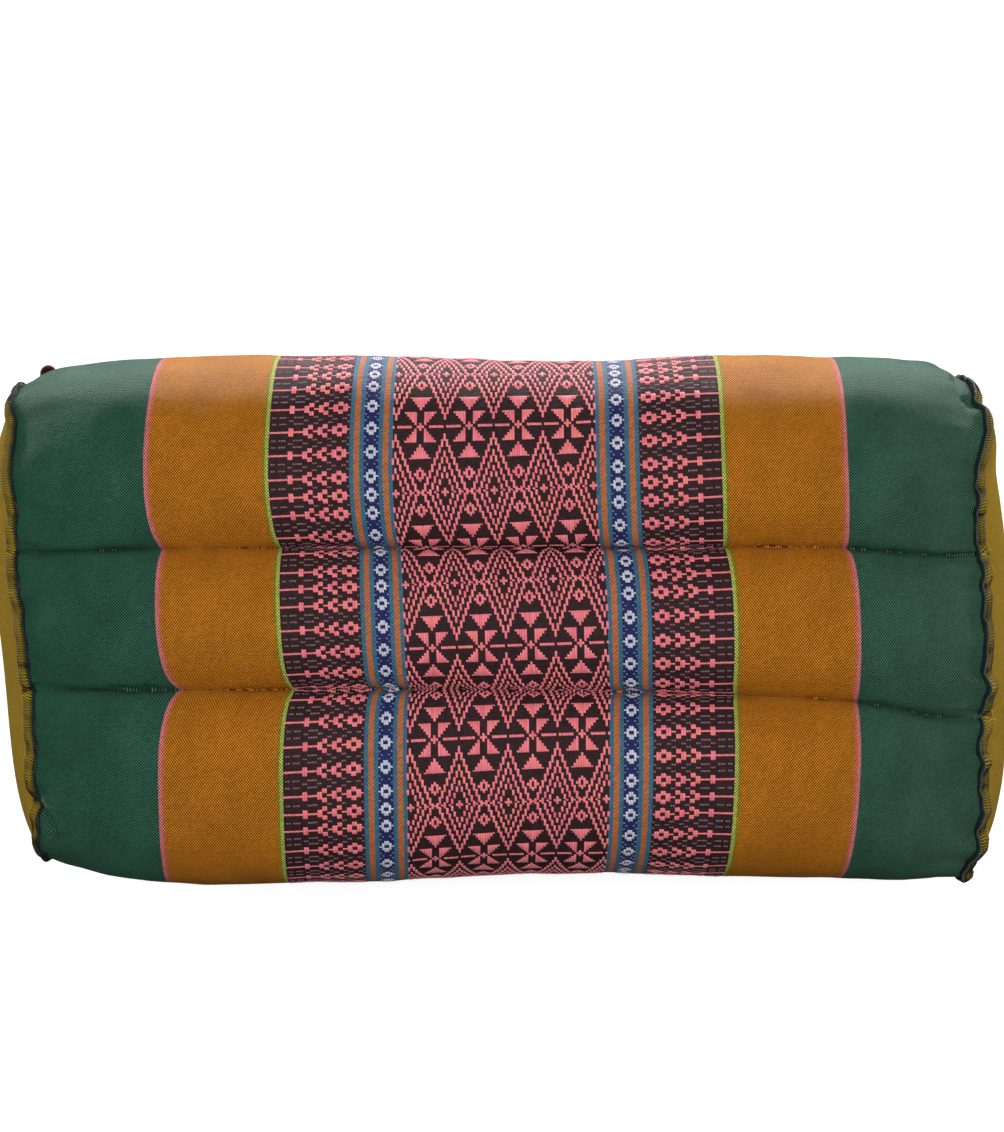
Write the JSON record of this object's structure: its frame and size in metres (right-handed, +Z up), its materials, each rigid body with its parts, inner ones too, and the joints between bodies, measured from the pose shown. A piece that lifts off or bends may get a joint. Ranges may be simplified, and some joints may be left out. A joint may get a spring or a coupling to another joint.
{
  "type": "block zafu cushion",
  "caption": "Rectangular block zafu: a striped, brocaded cloth sleeve stitched into channels, with domed end panels and standing end seams.",
  "frame": {"origin": "on the surface the cushion lies on, below the middle of the box around it", "axes": "+X along the cushion from the left end panel to the right one, +Y across the face towards the narrow side with the ribbon loop, +Z up out of the face"},
  "size_m": [0.348, 0.1826, 0.1201],
  "materials": {
    "sleeve_cloth": "woven",
    "panel_cloth": "woven",
    "seam_edge": "woven",
    "loop_ribbon": "woven"
  },
  "bodies": {
    "root": {"cover": "sleeve_cloth", "end_panel_left": "panel_cloth", "end_panel_right": "panel_cloth", "seam_welt_left": "seam_edge", "seam_welt_right": "seam_edge", "ribbon_loop": "loop_ribbon"}
  },
  "joints": []
}
